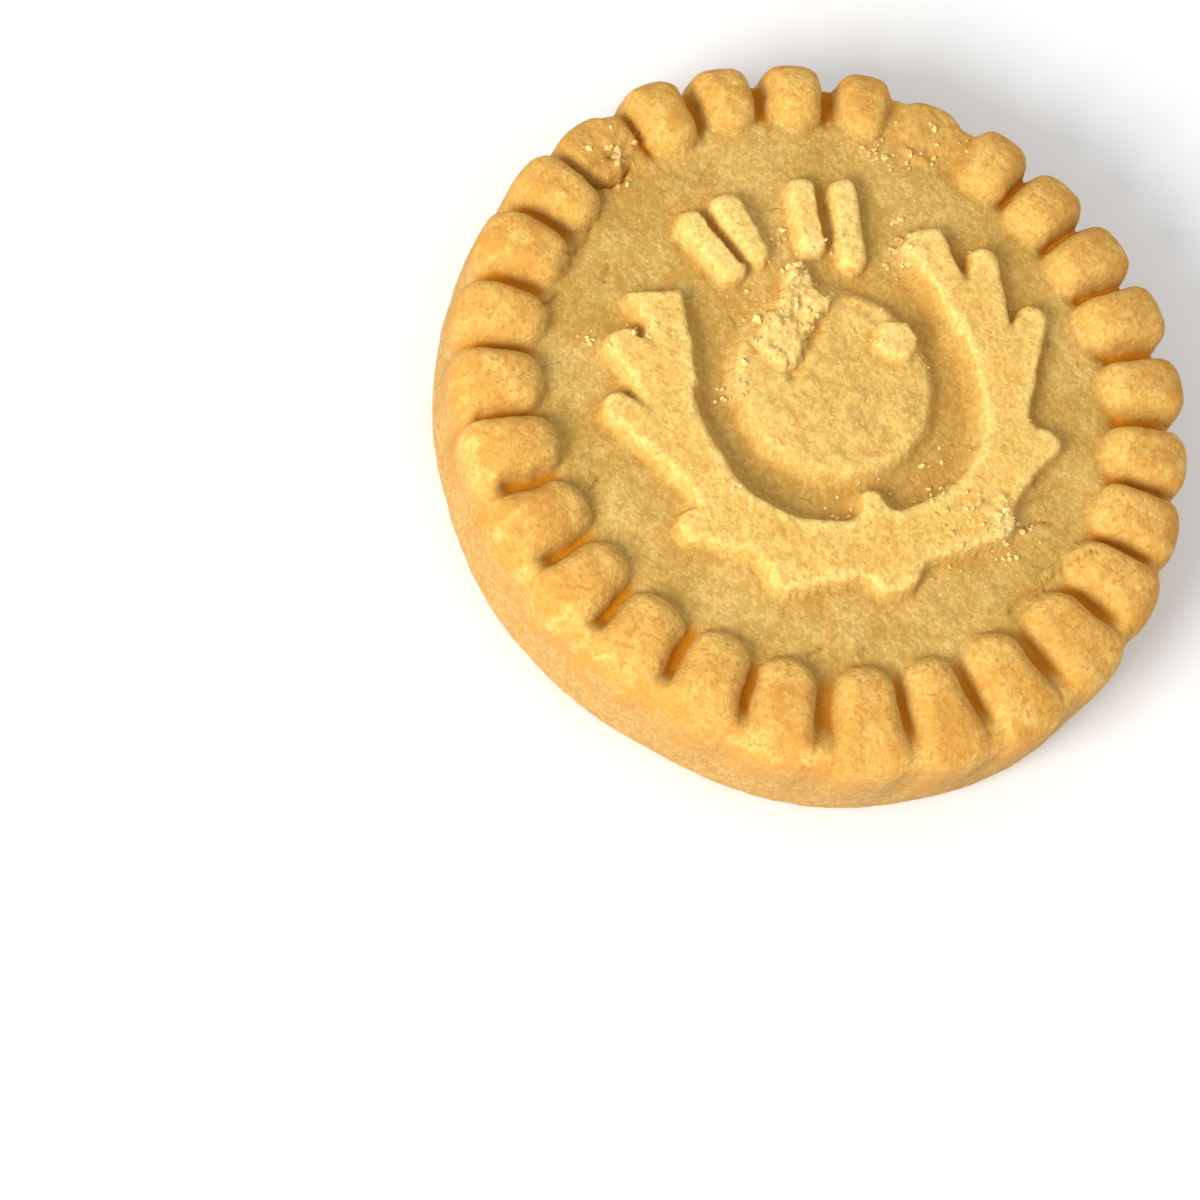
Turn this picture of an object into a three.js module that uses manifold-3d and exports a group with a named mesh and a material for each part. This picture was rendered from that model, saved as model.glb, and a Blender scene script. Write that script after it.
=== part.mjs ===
// A round moulded shortbread biscuit, in millimetres, +Z up.
// It lies flat on its underside, with the origin under the middle of it, and the thistle's stem points to -Y.
// One baked piece: a thick disc with a sunk field, a ring of crimped lobes and a raised thistle in a wreath.
import * as THREE from "three";
import { mergeVertices } from "three/addons/utils/BufferGeometryUtils.js";
import Module from "manifold-3d";

const wasm = await Module();
wasm.setup();

// Driving dimensions.
const CREST_HEIGHT = 11; // underside to the lobes' crests
const FIELD_HEIGHT = 9.4; // the sunk field inside the lobes
const MOTIF_HEIGHT = 10.6; // the flat top of the wreath and the flower
const HEAD_HEIGHT = 10.1; // the crown of the thistle's head
const SUNK = 0.9; // how far a raised piece reaches down into the field
const BASE_RADIUS = 26.8; // the flat underside
const WIDEST_RADIUS = 28.7; // the wall's bulge, low on the side
const SHOULDER_RADIUS = 27; // where the grooves between the lobes start to turn down into the wall
const FIELD_DROP = 0.3; // how much lower the field is at the lobes than in the middle
const WALL = {
  widestHeight: 2.8,
  neckRadius: 28.4, // where the wall starts to turn in to the shoulder
  neckHeight: 7.6,
};

const LOBES = {
  count: 28,
  innerRadius: 22.4,
  outerRadius: 29,
  width: 4.9, // at middleRadius
  middleRadius: 25.6,
  foot: 5.2, // height at which a lobe runs into the wall
  edge: 1.2, // rounding of the long edges
};

// The lobes crowd on one side: degrees they are turned from even places, once and twice round the ring.
const CROWDING = { turn: 0.8, once: 2.7, onceAt: 28, twice: 1.15, twiceAt: 60 };

// A lobe's long section, inside its rounded edges: shares of its length, and millimetres below its crest.
const LOBE_SECTION = {
  crestFrom: 0.2,
  tipDrop: 0.3, // at the inner tip
  browFrom: 0.5,
  browDrop: 0.1, // where the crest starts to fall
  bendIn: 0.7,
  bendDrop: 0.3,
  shoulderIn: 0.35,
  shoulderDrop: 1.7, // where the wall begins
  footIn: 0.5,
};
// Lobes that are broken or rubbed down, counted anticlockwise from the one above the flower.
const WORN_LOBES = new Map([
  [2, { lower: 0.5, shorter: 1.9 }],
  [25, { lower: 1.2, shorter: 0.5 }],
]);

const MOTIF_CENTRE = new THREE.Vector2(0.9, 0.6);
const WREATH = {
  innerRadius: 11.1,
  sideBand: 3.6, // width of the band at its sides
  footBand: 4.4, // width of the band below
  armReach: 10.8, // from the motif's centre up to the arms' blunt ends
  armInside: 8.9, // from the axis to the inside of an arm's end
  armWidth: 4.8,
};
// The thistle's bars, from the motif's centre: middle and radius of the root and of the tip.
const SPINES = [
  { root: [13.5, 1.6], rootRadius: 2.2, tip: [15.4, 6.9], tipRadius: 1.4 },
  { root: [12.9, -3.4], rootRadius: 2.2, tip: [17.5, 1.7], tipRadius: 1.35 },
  { root: [9.3, -9.1], rootRadius: 2.2, tip: [14.7, -8.4], tipRadius: 1.5 },
  { root: [4.2, -13.1], rootRadius: 2.2, tip: [8.8, -13.5], tipRadius: 1.6 },
];
const BRISTLES = [
  { root: [4.9, 10.1], rootRadius: 1.25, tip: [6.4, 14.8], tipRadius: 1.4 },
  { root: [2.5, 11.5], rootRadius: 1.2, tip: [3.3, 15.6], tipRadius: 1.35 },
];
const STEM = { root: [-0.8, -12.5], rootRadius: 2.6, tip: [-0.5, -9.9], tipRadius: 1.1 };
const FOOT = { root: [-0.8, -13.4], rootRadius: 3.2, tip: [-0.9, -14.7], tipRadius: 2.7 };
const TUFT = { root: [-3.6, 4.6], rootRadius: 1.5, tip: [0.4, 7.2], tipRadius: 2.1 };
const HEAD = {
  centre: [0, 0.3],
  radius: 8.2,
  edgeIn: 0.6, // how far inside the edge the dome has bent over
  edgeRise: 0.8, // share of the height it has gained there
  crown: 0.6, // share of the radius inside which the dome is nearly flat
  crownDrop: 0.05,
};
const BUD = { centre: [5.8, 2.1], width: 4.1, depth: 3.4, turn: -0.35 };

// How the dough spread in the oven.
const SPREAD_TWO = 0.004; // oval
const SPREAD_THREE = 0.003; // three-cornered
const LEAN = 0.01; // one side rises more
// The outline is a little flat beyond the flower.
const FLAT = { angle: 1.7, width: 0.6, depth: 0.8, from: 24 };
// Stretches of the edge that ran out further: direction and width in degrees, millimetres outwards.
const SWELLS = [
  { direction: 281, width: 24, out: 1.7 },
  { direction: 250, width: 16, out: 0.9 },
  { direction: 312, width: 18, out: 0.5 },
  { direction: 0, width: 26, out: 0.85 },
  { direction: 205, width: 26, out: 0.25 },
  { direction: 78, width: 14, out: -0.3 },
  { direction: 100, width: 30, out: 0.4 },
];
const SWELL_FROM = 25; // the swells fade to nothing this far from the middle

/** A closed three.js geometry as a manifold solid. */
function solid(geometry) {
  const bare = new THREE.BufferGeometry().setAttribute("position", geometry.getAttribute("position"));
  if (geometry.index) bare.setIndex(geometry.index);
  const merged = mergeVertices(bare, 1e-4);
  const mesh = new wasm.Mesh({
    numProp: 3,
    vertProperties: new Float32Array(merged.attributes.position.array),
    triVerts: new Uint32Array(merged.index.array),
  });
  return new wasm.Manifold(mesh);
}

/** The turned disc: flat underside, bulging wall, the grooves' shoulder, and the slightly crowned field. */
function disc() {
  const { widestHeight, neckRadius, neckHeight } = WALL;
  const low = FIELD_HEIGHT - FIELD_DROP;
  const outline = new THREE.Path()
    .moveTo(0, 0)
    .lineTo(BASE_RADIUS, 0)
    .quadraticCurveTo(WIDEST_RADIUS, 0, WIDEST_RADIUS, widestHeight)
    .quadraticCurveTo(WIDEST_RADIUS, (widestHeight + neckHeight) / 2, neckRadius, neckHeight)
    .quadraticCurveTo(neckRadius, low, SHOULDER_RADIUS, low)
    .lineTo(LOBES.innerRadius, low)
    .lineTo(0, FIELD_HEIGHT);
  return solid(new THREE.LatheGeometry(outline.getPoints(3), LOBES.count * 3).rotateX(Math.PI / 2));
}

/** One crimped lobe that points along +X: a rounded pad that widens outwards and runs down into the wall. */
function lobe({ lower = 0, shorter = 0 } = {}) {
  const { innerRadius, outerRadius, width, middleRadius, foot, edge } = LOBES;
  const inner = innerRadius + shorter + edge;
  const outer = outerRadius - edge;
  const crest = CREST_HEIGHT - lower - edge;
  const reach = outer - inner;
  const { crestFrom, tipDrop, browFrom, browDrop, bendIn, bendDrop } = LOBE_SECTION;
  const { shoulderIn, shoulderDrop, footIn } = LOBE_SECTION;
  const side = new THREE.Shape()
    .moveTo(inner, foot)
    .lineTo(inner, crest - tipDrop)
    .lineTo(inner + crestFrom * reach, crest)
    .lineTo(inner + browFrom * reach, crest - browDrop)
    .quadraticCurveTo(outer - bendIn, crest - bendDrop, outer - shoulderIn, crest - shoulderDrop)
    .lineTo(outer - footIn, foot);
  const pad = new THREE.ExtrudeGeometry(side, {
    depth: width - 2 * edge,
    curveSegments: 2,
    bevelSize: edge,
    bevelThickness: edge,
    bevelSegments: 2,
    steps: 1,
  });
  pad.translate(0, 0, edge - width / 2).rotateX(Math.PI / 2);
  const corner = pad.getAttribute("position");
  for (let i = 0; i < corner.count; i++) corner.setY(i, (corner.getY(i) * corner.getX(i)) / middleRadius);
  return pad;
}

/** How far a lobe is turned from its even place, at a direction in radians. */
function crowding(angle) {
  const once = CROWDING.once * Math.cos(angle + THREE.MathUtils.degToRad(CROWDING.onceAt));
  const twice = CROWDING.twice * Math.cos(2 * angle + THREE.MathUtils.degToRad(CROWDING.twiceAt));
  return THREE.MathUtils.degToRad(once + twice - CROWDING.turn);
}

/** The ring of lobes, with the first one above the flower. */
function lobes() {
  const pitch = (2 * Math.PI) / LOBES.count;
  return Array.from({ length: LOBES.count }, (_, k) => {
    const even = Math.PI / 2 + k * pitch;
    return solid(lobe(WORN_LOBES.get(k)).rotateZ(even + crowding(even)));
  });
}

/** A flat outline raised from the field up to a height, with its upper edge rounded. */
function raised(outline, top, rounding = 0.4) {
  const low = FIELD_HEIGHT - SUNK;
  const made = new THREE.ExtrudeGeometry(outline, {
    depth: top - low - rounding,
    curveSegments: 5,
    bevelSize: rounding,
    bevelOffset: -rounding,
    bevelThickness: rounding,
    bevelSegments: 1,
    steps: 1,
  });
  return solid(made.translate(MOTIF_CENTRE.x, MOTIF_CENTRE.y, low));
}

/** A bar with two round ends, mirrored in the thistle's axis if side is -1. */
function bar({ root, rootRadius, tip, tipRadius }, side = 1) {
  const from = new THREE.Vector2(root[0] * side, root[1]);
  const to = new THREE.Vector2(tip[0] * side, tip[1]);
  const along = to.clone().sub(from);
  const lean = Math.asin((rootRadius - tipRadius) / along.length());
  const left = along.angle() + Math.PI / 2 - lean;
  const right = along.angle() - Math.PI / 2 + lean;
  return new THREE.Shape()
    .absarc(to.x, to.y, tipRadius, right, left, false)
    .absarc(from.x, from.y, rootRadius, left, right + 2 * Math.PI, false);
}

/** The wreath's band: the lower half of a ring, whose ends rise as two blunt arms. */
function wreathBand() {
  const { innerRadius, sideBand, footBand, armReach, armInside, armWidth } = WREATH;
  const outer = innerRadius + sideBand;
  const below = innerRadius + footBand;
  const armOutside = armInside + armWidth;
  return new THREE.Shape()
    .moveTo(-outer, 0)
    .absellipse(0, 0, outer, below, Math.PI, 2 * Math.PI, false)
    .quadraticCurveTo(outer, armReach * 0.6, armOutside, armReach)
    .lineTo(armInside, armReach)
    .quadraticCurveTo(innerRadius, armReach * 0.6, innerRadius, 0)
    .absarc(0, 0, innerRadius, 2 * Math.PI, Math.PI, true)
    .quadraticCurveTo(-innerRadius, armReach * 0.6, -armInside, armReach)
    .lineTo(-armOutside, armReach)
    .quadraticCurveTo(-outer, armReach * 0.6, -outer, 0);
}

/** The thistle's raised flat parts: wreath, spines, stem, foot, bristles and the tuft at their root. */
function thistle() {
  const outlines = [wreathBand(), bar(STEM), bar(FOOT), bar(TUFT)];
  for (const side of [1, -1]) {
    for (const piece of [...SPINES, ...BRISTLES]) outlines.push(bar(piece, side));
  }
  return outlines.map((outline) => raised(outline, MOTIF_HEIGHT));
}

/** The low domed head and the square bud on it. */
function head() {
  const rise = HEAD_HEIGHT - FIELD_HEIGHT;
  const dome = new THREE.Path()
    .moveTo(0, FIELD_HEIGHT - SUNK)
    .lineTo(HEAD.radius, FIELD_HEIGHT - SUNK)
    .lineTo(HEAD.radius, FIELD_HEIGHT)
    .quadraticCurveTo(
      HEAD.radius - HEAD.edgeIn,
      FIELD_HEIGHT + rise * HEAD.edgeRise,
      HEAD.radius * HEAD.crown,
      HEAD_HEIGHT - HEAD.crownDrop,
    )
    .lineTo(0, HEAD_HEIGHT);
  const turned = new THREE.LatheGeometry(dome.getPoints(3), 40).rotateX(Math.PI / 2);
  turned.translate(HEAD.centre[0] + MOTIF_CENTRE.x, HEAD.centre[1] + MOTIF_CENTRE.y, 0);
  const corners = [[-1, -1], [1, -1], [1, 1], [-1, 1]].map(([across, up]) =>
    new THREE.Vector2((across * BUD.width) / 2, (up * BUD.depth) / 2)
      .rotateAround(new THREE.Vector2(), BUD.turn)
      .add(new THREE.Vector2(...BUD.centre)),
  );
  return [solid(turned), raised(new THREE.Shape(corners), MOTIF_HEIGHT)];
}

/** How far the swells push the edge out in a direction. */
function swell(angle) {
  return SWELLS.reduce((sum, { direction, width, out }) => {
    const turned = THREE.MathUtils.radToDeg(angle) - direction;
    const past = THREE.MathUtils.euclideanModulo(turned + 180, 360) - 180;
    return sum + out * Math.exp(-((past / width) ** 2));
  }, 0);
}

/** Where a vertex of the even shape lies on the baked biscuit. */
function settle(x, y, z) {
  const radius = Math.hypot(x, y);
  const angle = Math.atan2(y, x);
  const flatness = FLAT.depth * Math.exp(-(((angle - FLAT.angle) / FLAT.width) ** 2));
  const outside = Math.max(radius - FLAT.from, 0) / (WIDEST_RADIUS - FLAT.from);
  const spread = 1 + SPREAD_TWO * Math.cos(2 * angle - 1.3) + SPREAD_THREE * Math.cos(3 * angle + 1.1);
  const swollen = swell(angle) * THREE.MathUtils.smoothstep(radius, SWELL_FROM, SHOULDER_RADIUS);
  const settled = (radius - flatness * outside + swollen) * spread;
  const rise = 1 + (LEAN * radius * Math.cos(angle - 0.6)) / WIDEST_RADIUS;
  return [settled * Math.cos(angle), settled * Math.sin(angle), z * rise];
}

/** The joined solid as one flat-shaded geometry, settled and centred over the origin. */
function bakedGeometry(whole) {
  const { numProp, numVert, vertProperties, triVerts } = whole.getMesh();
  const points = new Float32Array(numVert * 3);
  for (let i = 0; i < numVert; i++) {
    points.set(settle(...vertProperties.subarray(i * numProp, i * numProp + 3)), i * 3);
  }
  const geometry = new THREE.BufferGeometry()
    .setAttribute("position", new THREE.BufferAttribute(points, 3))
    .setIndex(new THREE.BufferAttribute(triVerts, 1));
  geometry.computeBoundingBox();
  const middle = geometry.boundingBox.getCenter(new THREE.Vector3());
  return geometry.translate(-middle.x, -middle.y, -geometry.boundingBox.min.z);
}

const whole = wasm.Manifold.union([disc(), ...lobes(), ...thistle(), ...head()]);
const crust = new THREE.MeshStandardMaterial({
  color: 0xe3b566,
  roughness: 0.85,
  metalness: 0,
  flatShading: true,
});
const biscuit = new THREE.Mesh(bakedGeometry(whole), crust);
biscuit.name = "biscuit";

const part = new THREE.Group();
part.add(biscuit);

export default part;
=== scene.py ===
"""Looks of a round moulded shortbread biscuit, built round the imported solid.

The biscuit is one baked piece: a thick disc with a sunk sandy field, a ring of crimped lobes and a raised
thistle in an open wreath of leaves. Its face, wall and underside are one fine skin, worked out from named
sizes in millimetres. Loose crumbs lie on it as a second piece.
"""

import logging
import math
from dataclasses import dataclass, field
from enum import Enum
from itertools import combinations, product

import bpy
import numpy as np
from mathutils import Matrix, Vector


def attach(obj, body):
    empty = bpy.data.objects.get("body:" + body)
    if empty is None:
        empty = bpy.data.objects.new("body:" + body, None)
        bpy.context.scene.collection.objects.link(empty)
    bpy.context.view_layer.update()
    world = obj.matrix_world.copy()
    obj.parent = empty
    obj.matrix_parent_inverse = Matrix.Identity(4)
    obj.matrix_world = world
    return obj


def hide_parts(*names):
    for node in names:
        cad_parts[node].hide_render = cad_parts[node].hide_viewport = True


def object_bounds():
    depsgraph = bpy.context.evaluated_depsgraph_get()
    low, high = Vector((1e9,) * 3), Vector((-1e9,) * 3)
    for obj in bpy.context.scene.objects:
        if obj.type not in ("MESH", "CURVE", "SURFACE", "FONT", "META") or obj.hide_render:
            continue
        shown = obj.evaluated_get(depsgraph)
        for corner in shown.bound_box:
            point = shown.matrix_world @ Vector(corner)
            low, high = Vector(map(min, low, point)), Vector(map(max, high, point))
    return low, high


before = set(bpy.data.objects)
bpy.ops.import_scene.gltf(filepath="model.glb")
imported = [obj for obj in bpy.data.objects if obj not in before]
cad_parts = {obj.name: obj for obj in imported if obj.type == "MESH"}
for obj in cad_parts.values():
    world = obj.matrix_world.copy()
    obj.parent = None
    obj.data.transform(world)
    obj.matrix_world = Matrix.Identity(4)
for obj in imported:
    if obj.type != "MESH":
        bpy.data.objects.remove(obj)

Array = np.ndarray
Place = tuple[float, float]
Span = tuple[float, float]
Faces = list[tuple[int, ...]]
Colour = tuple[float, float, float, float]
Value = bpy.types.NodeSocket | float | Colour
Outputs = bpy.types.bpy_prop_collection

LOG = logging.getLogger("shortbread")
MM = 0.001
CAD_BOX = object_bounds()
NODE = "biscuit"
BODY = "root"
TINY = 1e-6


# --- Easing and smooth seeded noise ---


def ease(value: Array, low: float | Array, high: float | Array) -> Array:
    """Rises smoothly from 0 at low to 1 at high, or falls where low is the larger."""
    part = np.clip((value - low) / (high - low), 0, 1)
    return part * part * (3 - 2 * part)


def band(value: Array, rise: Span, fall: Span) -> Array:
    """Rises smoothly from 0 to 1 over one span, and falls back to 0 over another."""
    return ease(value, *rise) * ease(value, *fall)


def pillow(depth: Array, rounding: float) -> Array:
    """Rises like a quarter round from 0 at an edge to 1 at the rounding's depth inside it."""
    part = 1 - np.clip(depth / rounding, 0, 1)
    return np.sqrt(np.clip(1 - part * part, 0, 1))


def toward(angle: Array, degrees: float) -> Array:
    """Gives 1 in one direction, 0 in the opposite one and a smooth change between them."""
    return 0.5 + 0.5 * np.cos(angle - math.radians(degrees))


@dataclass(frozen=True)
class Waves:
    """A layer of unevenness: its height, how far apart its hills are, and where in the noise it is cut."""

    height: float
    size: float
    octaves: int = 1
    cut: float = 0.0


class Noise:
    """Smooth noise over space that is the same at the same place on every run."""

    LATTICE = 256  # how many slopes and spots the noise is made of
    LIFT = 1.6  # brings gradient noise to about -1 to 1
    FINER = 2.03  # how much finer each next layer is
    STEP = 7.1  # how far each next layer is moved
    FAR = 9.0  # further than any neighbouring grain, in grain sizes
    BEND = (0.35, 1.3)  # height and size of the bends in the crumbs' outlines, in crumb sizes
    LUMPS = 0.65  # the share of the larger crumbs in a broken surface
    GRAINS = 0.35  # the share of the smaller ones
    SEAMS = 0.35  # how deep the seams between the larger ones are

    def __init__(self, seed: int) -> None:
        """Draws the noise's lattice.

        Args:
            seed: The number that fixes the lattice.
        """
        draw = np.random.default_rng(seed)
        self.order = draw.permutation(self.LATTICE)
        slopes = draw.normal(size=(self.LATTICE, 3))
        self.slopes = slopes / np.linalg.norm(slopes, axis=1, keepdims=True)
        self.spots = draw.random((self.LATTICE, 3))

    def _pick(self, cell: Array) -> Array:
        """Gives the lattice entry of each cell.

        Args:
            cell: Whole-number cells, one row each.

        Returns:
            An index into the lattice for each row.
        """
        last = self.LATTICE - 1
        first = self.order[cell[..., 0] & last]
        second = self.order[(first + cell[..., 1]) & last]
        return self.order[(second + cell[..., 2]) & last]

    def smooth(self, points: Array, size: float, octaves: int = 1) -> Array:
        """Works out gradient noise.

        Args:
            points: Places, one row each.
            size: How far apart the hills are.
            octaves: How many finer layers are added, each half as large and half as high.

        Returns:
            A value for each place, mostly between -1 and 1.
        """
        total = np.zeros(len(points))
        height, scaled = self.LIFT, points / size
        for _ in range(octaves):
            cell = np.floor(scaled).astype(int)
            part = scaled - cell
            eased = part * part * part * (part * (part * 6 - 15) + 10)
            for corner in np.ndindex(2, 2, 2):
                step = np.array(corner)
                weight = np.prod(np.where(step == 1, eased, 1 - eased), axis=1)
                slope = self.slopes[self._pick(cell + step)]
                total += height * weight * np.sum(slope * (part - step), axis=1)
            height *= 0.5
            scaled = scaled * self.FINER + self.STEP
        return total

    def layers(self, points: Array, *layers: Waves) -> Array:
        """Adds up layers of unevenness at each place."""
        return sum(wave.height * self.smooth(points + wave.cut, wave.size, wave.octaves) for wave in layers)

    def cells(self, points: Array, size: float) -> tuple[Array, Array]:
        """Works out cellular noise, as of grains that lie side by side.

        Args:
            points: Places, one row each.
            size: How large a grain is.

        Returns:
            How clear each place is of the seams between grains, in grain sizes, and its grain's own chance.
        """
        scaled = points / size
        cell = np.floor(scaled).astype(int)
        nearest = np.full(len(points), self.FAR)
        second = nearest.copy()
        chance = np.zeros(len(points))
        for offset in np.ndindex(3, 3, 3):
            other = cell + np.array(offset) - 1
            pick = self._pick(other)
            gap = np.linalg.norm(scaled - other - self.spots[pick], axis=1)
            chance = np.where(gap < nearest, self.spots[pick, 0], chance)
            second = np.minimum(second, np.maximum(gap, nearest))
            nearest = np.minimum(nearest, gap)
        return second - nearest, chance

    def crumbly(self, points: Array, size: float) -> Array:
        """Works out a rough broken surface of large and small crumbs pressed together.

        Args:
            points: Places, one row each.
            size: How large the larger crumbs are.

        Returns:
            A height for each place, mostly between -1 and 1.
        """
        far, wide = self.BEND
        bends = [Waves(far * size, wide * size, 2, 500 + 40 * axis) for axis in range(3)]
        bent = points + np.column_stack([self.layers(points, bend) for bend in bends])
        clear, chance = self.cells(bent, size)
        finer, luck = self.cells(bent * 1.1 + 3.3, 0.5 * size)
        lumps = (2 * chance - 1) * ease(clear, 0.0, 0.35) - self.SEAMS * ease(clear, 0.12, 0.0)
        grains = (2 * luck - 1) * ease(finer, 0.0, 0.4)
        rise = self.layers(points, Waves(0.35, 2.2 * size, 2, 700))
        return self.LUMPS * lumps + self.GRAINS * grains + rise


# --- Outlines on the face, as distances in millimetres, negative inside ---


@dataclass(frozen=True)
class Bar:
    """A straight raised bar with round ends, which may taper."""

    root: Place
    root_radius: float
    tip: Place
    tip_radius: float

    def distance(self, x: Array, y: Array) -> Array:
        """Gives the distance to the bar's edge.

        Args:
            x: Places across the face.
            y: Places up the face.

        Returns:
            The distance, negative inside.
        """
        along = np.array(self.tip) - np.array(self.root)
        dx, dy = x - self.root[0], y - self.root[1]
        part = np.clip((dx * along[0] + dy * along[1]) / float(along @ along), 0, 1)
        radius = self.root_radius + (self.tip_radius - self.root_radius) * part
        return np.hypot(dx - part * along[0], dy - part * along[1]) - radius


@dataclass(frozen=True)
class Patch:
    """A raised patch with straight sides and rounded corners."""

    corners: tuple[Place, ...]
    rounding: float = 0.3

    def distance(self, x: Array, y: Array) -> Array:
        """Gives the distance to the patch's edge.

        Args:
            x: Places across the face.
            y: Places up the face.

        Returns:
            The distance, negative inside.
        """
        points = np.array(self.corners)
        best = np.full(x.shape, np.inf)
        inside = np.zeros(x.shape, bool)
        for (ax, ay), (bx, by) in zip(points, np.roll(points, -1, axis=0)):
            ex, ey = bx - ax, by - ay
            wx, wy = x - ax, y - ay
            part = np.clip((wx * ex + wy * ey) / (ex * ex + ey * ey), 0, 1)
            best = np.minimum(best, np.hypot(wx - part * ex, wy - part * ey))
            crosses = (ay > y) != (by > y)
            with np.errstate(divide="ignore", invalid="ignore"):
                cut = ax + (y - ay) * ex / ey
            inside ^= crosses & (x < cut)
        return np.where(inside, -best, best) - self.rounding


@dataclass(frozen=True)
class Crack:
    """A hairline crack in the crust."""

    points: tuple[Place, ...]

    def distance(self, x: Array, y: Array) -> Array:
        """Gives the distance from each place to the crack."""
        lines = [Bar(start, 0.0, end, 0.0) for start, end in zip(self.points, self.points[1:])]
        return nearest_of(lines, x, y)


@dataclass(frozen=True)
class Crumbled:
    """A round spot where the crust has crumbled: how much, where, its full core and its fading edge."""

    share: float
    spot: Place
    core: float
    fade: float

    def at(self, x: Array, y: Array) -> Array:
        """Gives how crumbled each place is, up to the spot's share."""
        return self.share * ease(np.hypot(x - self.spot[0], y - self.spot[1]) - self.core, self.fade, 0.0)


def nearest_of(shapes: tuple | list, x: Array, y: Array) -> Array:
    """Gives the distance to the nearest of some shapes."""
    return np.minimum.reduce([shape.distance(x, y) for shape in shapes])


def joined(distances: list[Array], blend: float) -> Array:
    """Joins outlines into one, with a small fillet where two of them meet.

    Args:
        distances: The distance to each outline.
        blend: How wide the fillet is.

    Returns:
        The distance to the joined outline.
    """
    total = distances[0]
    for other in distances[1:]:
        gap = np.clip(0.5 + 0.5 * (other - total) / blend, 0, 1)
        total = other + (total - other) * gap - blend * gap * (1 - gap)
    return total


# --- The moulded thistle ---


@dataclass
class Thistle:
    """The raised picture: a thistle's head and flower inside an open wreath of spiny leaves."""

    height: float = 1.3
    edge: float = 0.6
    fillet: float = 0.8
    bristle_edge: float = 0.7
    head_centre: Place = (0.9, 0.9)
    head_radius: float = 8.2
    head_height: float = 0.85
    head_crown: float = 0.12
    head_rubbed: float = 0.55
    bud_height: float = 0.72
    tuft_height: float = 1.4
    tuft_chips: float = 0.14
    small_edge: float = 0.45
    chip_size: float = 1.05
    chip_height: float = 0.32
    crumble_sinks: float = 0.04
    ring_depth: float = 0.42
    ring_centre: Place = (0.9, 1.0)
    ring_radius: float = 11.25
    ring_squareness: float = 0.75
    ring_width: Span = (3.4, 4.8)
    arms_from: float = 4.0
    arm_stretch: float = 1.45
    trough_centre: Place = (1.05, 1.2)
    crease_depth: float = 0.42
    slit_depth: float = 0.15
    noise: Noise = field(default_factory=lambda: Noise(11))

    LEAVES = (
        Bar((14.4, 2.0), 2.1, (16.3, 7.75), 1.3),
        Bar((14.0, -3.3), 2.05, (18.45, 2.25), 1.25),
        Bar((10.8, -9.2), 1.9, (15.5, -7.7), 1.45),
        Bar((5.0, -12.5), 2.3, (9.3, -12.9), 1.75),
        Bar((-12.5, 2.4), 1.9, (-14.2, 6.95), 1.75),
        Bar((-12.1, -3.4), 2.0, (-16.45, 2.25), 1.5),
        Bar((-9.0, -9.4), 1.9, (-13.85, -7.9), 1.5),
        Bar((-3.6, -12.5), 2.4, (-8.4, -13.0), 1.55),
        Patch(((-12.7, 11.0), (-8.7, 10.6), (-9.2, 7.0), (-10.0, 3.0), (-12.6, 2.5), (-12.0, 7.0))),
        Patch(((10.2, 10.2), (11.5, 11.2), (13.6, 11.1), (13.9, 7.5), (14.2, 3.0), (12.1, 2.6), (11.5, 6.6))),
    )
    STEM = Bar((0.1, -11.9), 2.2, (0.2, -9.15), 1.05)
    FOOT = Bar((0.0, -12.9), 3.0, (-0.1, -14.1), 2.7)
    BRISTLES = (
        Bar((-4.05, 11.5), 1.35, (-5.65, 15.35), 1.45),
        Bar((-1.45, 12.3), 1.15, (-2.45, 16.2), 1.4),
        Bar((3.2, 12.3), 1.3, (3.8, 16.3), 1.4),
        Bar((5.95, 10.4), 1.2, (7.2, 15.65), 1.25),
    )
    SLITS = (
        Bar((-3.0, 12.1), 0.22, (-4.35, 16.2), 0.34),
        Bar((4.45, 11.9), 0.26, (5.4, 16.5), 0.36),
        Bar((-12.95, 7.7), 0.2, (-12.65, 8.6), 0.3),
        Bar((14.3, 8.1), 0.18, (14.45, 10.2), 0.3),
    )
    BUD = Patch(((4.9, 2.6), (6.1, 4.3), (7.9, 3.9), (8.3, 2.5), (7.0, 1.1), (5.4, 1.7)), 0.25)
    TUFT = Patch(
        ((-4.5, 5.2), (-3.3, 6.3), (-1.4, 7.4), (-0.2, 9.6), (1.2, 10.1), (2.3, 8.9))
        + ((2.6, 7.0), (1.3, 5.9), (0.2, 4.6), (-1.6, 3.0), (-3.0, 2.4), (-3.4, 3.9)),
        0.2,
    )
    CREASE = Bar((0.9, 5.1), 0.3, (-2.4, 1.9), 0.16)
    # Where things set in or fade out: HEAD_EDGE and TROUGH_EDGE from the head's radius, the others from an
    # outline, a centre or the middle of the face.
    HEAD_EDGE = (0.35, -1.1)
    WORN = (8.5, 6.5)
    RUBBED_ABOVE = (3.6, 7.2)
    RUBBED_WIDE = (6.5, 4.0)
    TROUGH_EDGE = (-0.6, 0.4)
    TROUGH_REACH = (12.4, 11.0)
    TROUGH_TOP = (11.0, 7.0)
    TUFT_EDGE = (1.4, -0.4)
    CREASE_EDGE = (0.55, -0.15)
    SLIT_EDGE = (0.3, -0.1)
    CRUMBLED = (
        Crumbled(0.9, (9.9, -12.7), 1.0, 1.4),
        Crumbled(0.7, (10.2, 9.9), 0.8, 1.6),
        Crumbled(0.6, (2.2, 11.3), 0.6, 1.4),
        Crumbled(0.5, (-12.4, 7.9), 0.3, 1.0),
        Crumbled(0.55, (-6.6, 2.2), 0.4, 1.8),
    )

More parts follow.
